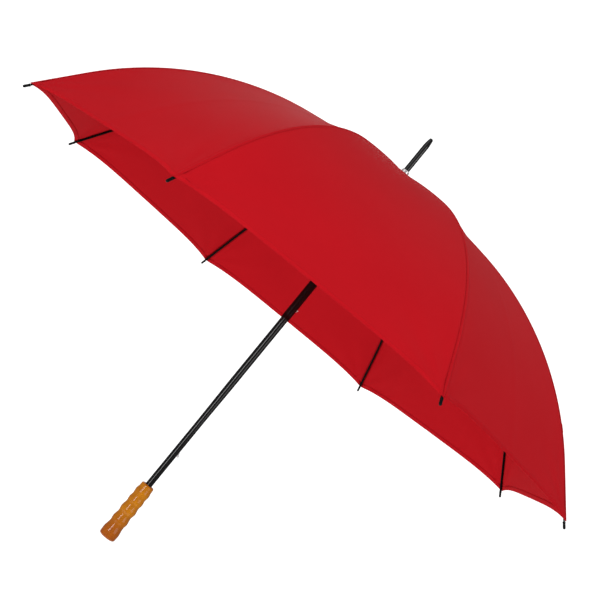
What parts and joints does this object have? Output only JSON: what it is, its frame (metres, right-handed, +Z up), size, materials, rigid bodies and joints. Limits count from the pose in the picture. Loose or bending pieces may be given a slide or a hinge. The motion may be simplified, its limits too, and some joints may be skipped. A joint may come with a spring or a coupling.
{
  "type": "golf umbrella",
  "caption": "Open golf umbrella with a folding ribbed canopy, sliding runner on a black shaft, turned wooden grip and a black ferrule.",
  "frame": {"origin": "centre of the flat end of the grip, the lowest point of the umbrella", "axes": "+Z up the shaft to the ferrule; +X lies under the middle of the gore that carries the tie strap, on the side of the spring catches"},
  "size_m": [1.1964, 1.1964, 0.987],
  "materials": {
    "canopy_cloth": "tightly woven red polyester, satin",
    "black_steel": "black enamel",
    "black_plastic": "gloss black",
    "shaft_lacquer": "gloss black lacquer on steel tube",
    "ferrule_black": "gloss black",
    "ring_chrome": "polished plating",
    "bright_steel": "drawn wire",
    "spring_steel": "bright spring wire",
    "amber_wood": "clear gloss lacquer over amber stained wood"
  },
  "bodies": {
    "shaft": {"handle": "amber_wood", "shaft_tube": "shaft_lacquer", "ferrule": "ferrule_black", "ferrule_ring": "ring_chrome", "crown_patch": "canopy_cloth", "top_notch": "black_plastic", "notch_wire": "bright_steel", "runner_stop": "bright_steel", "catch_pins": "bright_steel"},
    "runner": {"runner_sleeve": "shaft_lacquer", "runner_collar": "black_plastic", "runner_wire": "bright_steel"},
    "rib_1": {"rib_1": "black_steel", "rib_tip_1": "black_plastic", "rivet_1": "bright_steel"},
    "stretcher_1": {"stretcher_1": "black_steel"},
    "gore_1": {"canopy_gore_1": "canopy_cloth", "tie_strap": "canopy_cloth", "strap_stud": "ring_chrome"},
    "rib_2": {"rib_2": "black_steel", "rib_tip_2": "black_plastic", "rivet_2": "bright_steel"},
    "stretcher_2": {"stretcher_2": "black_steel"},
    "gore_2": {"canopy_gore_2": "canopy_cloth"},
    "rib_3": {"rib_3": "black_steel", "rib_tip_3": "black_plastic", "rivet_3": "bright_steel"},
    "stretcher_3": {"stretcher_3": "black_steel"},
    "gore_3": {"canopy_gore_3": "canopy_cloth"},
    "rib_4": {"rib_4": "black_steel", "rib_tip_4": "black_plastic", "rivet_4": "bright_steel"},
    "stretcher_4": {"stretcher_4": "black_steel"},
    "gore_4": {"canopy_gore_4": "canopy_cloth"},
    "rib_5": {"rib_5": "black_steel", "rib_tip_5": "black_plastic", "rivet_5": "bright_steel"},
    "stretcher_5": {"stretcher_5": "black_steel"},
    "gore_5": {"canopy_gore_5": "canopy_cloth"},
    "rib_6": {"rib_6": "black_steel", "rib_tip_6": "black_plastic", "rivet_6": "bright_steel"},
    "stretcher_6": {"stretcher_6": "black_steel"},
    "gore_6": {"canopy_gore_6": "canopy_cloth"},
    "rib_7": {"rib_7": "black_steel", "rib_tip_7": "black_plastic", "rivet_7": "bright_steel"},
    "stretcher_7": {"stretcher_7": "black_steel"},
    "gore_7": {"canopy_gore_7": "canopy_cloth"},
    "rib_8": {"rib_8": "black_steel", "rib_tip_8": "black_plastic", "rivet_8": "bright_steel"},
    "stretcher_8": {"stretcher_8": "black_steel"},
    "gore_8": {"canopy_gore_8": "canopy_cloth"},
    "top_spring": {"top_spring": "spring_steel"},
    "bottom_spring": {"bottom_spring": "spring_steel"}
  },
  "joints": [
    {"name": "runner_slide", "type": "slide", "parent": "shaft", "child": "runner", "axis": [0, 0, 1], "range_m": [-0.3445, 0], "deforming": ["bottom_spring", "top_spring"]},
    {"name": "rib_1_fold", "type": "hinge", "parent": "shaft", "child": "rib_1", "pos_m": [0.01109, 0.00459, 0.8915], "axis": [-0.3827, 0.9239, 0], "range_deg": [-0.2, 61]},
    {"name": "rib_2_fold", "type": "hinge", "parent": "shaft", "child": "rib_2", "pos_m": [0.00459, 0.01109, 0.8915], "axis": [-0.9239, 0.3827, 0], "range_deg": [-0.2, 61]},
    {"name": "rib_3_fold", "type": "hinge", "parent": "shaft", "child": "rib_3", "pos_m": [-0.00459, 0.01109, 0.8915], "axis": [-0.9239, -0.3827, 0], "range_deg": [-0.2, 61]},
    {"name": "rib_4_fold", "type": "hinge", "parent": "shaft", "child": "rib_4", "pos_m": [-0.01109, 0.00459, 0.8915], "axis": [-0.3827, -0.9239, 0], "range_deg": [-0.2, 61]},
    {"name": "rib_5_fold", "type": "hinge", "parent": "shaft", "child": "rib_5", "pos_m": [-0.01109, -0.00459, 0.8915], "axis": [0.3827, -0.9239, 0], "range_deg": [-0.2, 61]},
    {"name": "rib_6_fold", "type": "hinge", "parent": "shaft", "child": "rib_6", "pos_m": [-0.00459, -0.01109, 0.8915], "axis": [0.9239, -0.3827, 0], "range_deg": [-0.2, 61]},
    {"name": "rib_7_fold", "type": "hinge", "parent": "shaft", "child": "rib_7", "pos_m": [0.00459, -0.01109, 0.8915], "axis": [0.9239, 0.3827, 0], "range_deg": [-0.2, 61]},
    {"name": "rib_8_fold", "type": "hinge", "parent": "shaft", "child": "rib_8", "pos_m": [0.01109, -0.00459, 0.8915], "axis": [0.3827, 0.9239, 0], "range_deg": [-0.2, 61]},
    {"name": "stretcher_1_swing", "type": "hinge", "parent": "rib_1", "child": "stretcher_1", "pos_m": [0.26444, 0.10954, 0.83633], "axis": [0.3827, -0.9239, 0], "range_deg": [-0.2, 101.88]},
    {"name": "stretcher_2_swing", "type": "hinge", "parent": "rib_2", "child": "stretcher_2", "pos_m": [0.10954, 0.26444, 0.83633], "axis": [0.9239, -0.3827, 0], "range_deg": [-0.2, 101.88]},
    {"name": "stretcher_3_swing", "type": "hinge", "parent": "rib_3", "child": "stretcher_3", "pos_m": [-0.10954, 0.26444, 0.83633], "axis": [0.9239, 0.3827, 0], "range_deg": [-0.2, 101.88]},
    {"name": "stretcher_4_swing", "type": "hinge", "parent": "rib_4", "child": "stretcher_4", "pos_m": [-0.26444, 0.10954, 0.83633], "axis": [0.3827, 0.9239, 0], "range_deg": [-0.2, 101.88]},
    {"name": "stretcher_5_swing", "type": "hinge", "parent": "rib_5", "child": "stretcher_5", "pos_m": [-0.26444, -0.10954, 0.83633], "axis": [-0.3827, 0.9239, 0], "range_deg": [-0.2, 101.88]},
    {"name": "stretcher_6_swing", "type": "hinge", "parent": "rib_6", "child": "stretcher_6", "pos_m": [-0.10954, -0.26444, 0.83633], "axis": [-0.9239, 0.3827, 0], "range_deg": [-0.2, 101.88]},
    {"name": "stretcher_7_swing", "type": "hinge", "parent": "rib_7", "child": "stretcher_7", "pos_m": [0.10954, -0.26444, 0.83633], "axis": [-0.9239, -0.3827, 0], "range_deg": [-0.2, 101.88]},
    {"name": "stretcher_8_swing", "type": "hinge", "parent": "rib_8", "child": "stretcher_8", "pos_m": [0.26444, -0.10954, 0.83633], "axis": [-0.3827, -0.9239, 0], "range_deg": [-0.2, 101.88]},
    {"name": "gore_1_fold", "type": "hinge", "parent": "shaft", "child": "gore_1", "pos_m": [0.0135, 0, 0.896], "axis": [0, 1, 0], "range_deg": [-0.2, 57.7], "deforming": ["canopy_gore_1", "tie_strap", "strap_stud"]},
    {"name": "gore_2_fold", "type": "hinge", "parent": "shaft", "child": "gore_2", "pos_m": [0.00955, 0.00955, 0.896], "axis": [-0.7071, 0.7071, 0], "range_deg": [-0.2, 57.7], "deforming": ["canopy_gore_2"]},
    {"name": "gore_3_fold", "type": "hinge", "parent": "shaft", "child": "gore_3", "pos_m": [0, 0.0135, 0.896], "axis": [-1, 0, 0], "range_deg": [-0.2, 57.7], "deforming": ["canopy_gore_3"]},
    {"name": "gore_4_fold", "type": "hinge", "parent": "shaft", "child": "gore_4", "pos_m": [-0.00955, 0.00955, 0.896], "axis": [-0.7071, -0.7071, 0], "range_deg": [-0.2, 57.7], "deforming": ["canopy_gore_4"]},
    {"name": "gore_5_fold", "type": "hinge", "parent": "shaft", "child": "gore_5", "pos_m": [-0.0135, 0, 0.896], "axis": [0, -1, 0], "range_deg": [-0.2, 57.7], "deforming": ["canopy_gore_5"]},
    {"name": "gore_6_fold", "type": "hinge", "parent": "shaft", "child": "gore_6", "pos_m": [-0.00955, -0.00955, 0.896], "axis": [0.7071, -0.7071, 0], "range_deg": [-0.2, 57.7], "deforming": ["canopy_gore_6"]},
    {"name": "gore_7_fold", "type": "hinge", "parent": "shaft", "child": "gore_7", "pos_m": [0, -0.0135, 0.896], "axis": [1, 0, 0], "range_deg": [-0.2, 57.7], "deforming": ["canopy_gore_7"]},
    {"name": "gore_8_fold", "type": "hinge", "parent": "shaft", "child": "gore_8", "pos_m": [0.00955, -0.00955, 0.896], "axis": [0.7071, 0.7071, 0], "range_deg": [-0.2, 57.7], "deforming": ["canopy_gore_8"]},
    {"name": "top_catch_press", "type": "hinge", "parent": "shaft", "child": "top_spring", "pos_m": [0.0034, 0, 0.6007], "axis": [0, 1, 0], "range_deg": [0, 6.2], "stiffness_Nm_per_rad": 0.2},
    {"name": "bottom_catch_press", "type": "hinge", "parent": "shaft", "child": "bottom_spring", "pos_m": [0.0034, 0, 0.1588], "axis": [0, -1, 0], "range_deg": [0, 6.2], "stiffness_Nm_per_rad": 0.2}
  ],
  "couplings": [
    {"joint": "rib_1_fold", "follows": "runner_slide", "rad_per_m": -3.0803},
    {"joint": "rib_2_fold", "follows": "runner_slide", "rad_per_m": -3.0803},
    {"joint": "rib_3_fold", "follows": "runner_slide", "rad_per_m": -3.0803},
    {"joint": "rib_4_fold", "follows": "runner_slide", "rad_per_m": -3.0803},
    {"joint": "rib_5_fold", "follows": "runner_slide", "rad_per_m": -3.0803},
    {"joint": "rib_6_fold", "follows": "runner_slide", "rad_per_m": -3.0803},
    {"joint": "rib_7_fold", "follows": "runner_slide", "rad_per_m": -3.0803},
    {"joint": "rib_8_fold", "follows": "runner_slide", "rad_per_m": -3.0803},
    {"joint": "stretcher_1_swing", "follows": "runner_slide", "rad_per_m": -5.1515},
    {"joint": "stretcher_2_swing", "follows": "runner_slide", "rad_per_m": -5.1515},
    {"joint": "stretcher_3_swing", "follows": "runner_slide", "rad_per_m": -5.1515},
    {"joint": "stretcher_4_swing", "follows": "runner_slide", "rad_per_m": -5.1515},
    {"joint": "stretcher_5_swing", "follows": "runner_slide", "rad_per_m": -5.1515},
    {"joint": "stretcher_6_swing", "follows": "runner_slide", "rad_per_m": -5.1515},
    {"joint": "stretcher_7_swing", "follows": "runner_slide", "rad_per_m": -5.1515},
    {"joint": "stretcher_8_swing", "follows": "runner_slide", "rad_per_m": -5.1515},
    {"joint": "gore_1_fold", "follows": "runner_slide", "rad_per_m": -2.9131},
    {"joint": "gore_2_fold", "follows": "runner_slide", "rad_per_m": -2.9131},
    {"joint": "gore_3_fold", "follows": "runner_slide", "rad_per_m": -2.9131},
    {"joint": "gore_4_fold", "follows": "runner_slide", "rad_per_m": -2.9131},
    {"joint": "gore_5_fold", "follows": "runner_slide", "rad_per_m": -2.9131},
    {"joint": "gore_6_fold", "follows": "runner_slide", "rad_per_m": -2.9131},
    {"joint": "gore_7_fold", "follows": "runner_slide", "rad_per_m": -2.9131},
    {"joint": "gore_8_fold", "follows": "runner_slide", "rad_per_m": -2.9131}
  ]
}
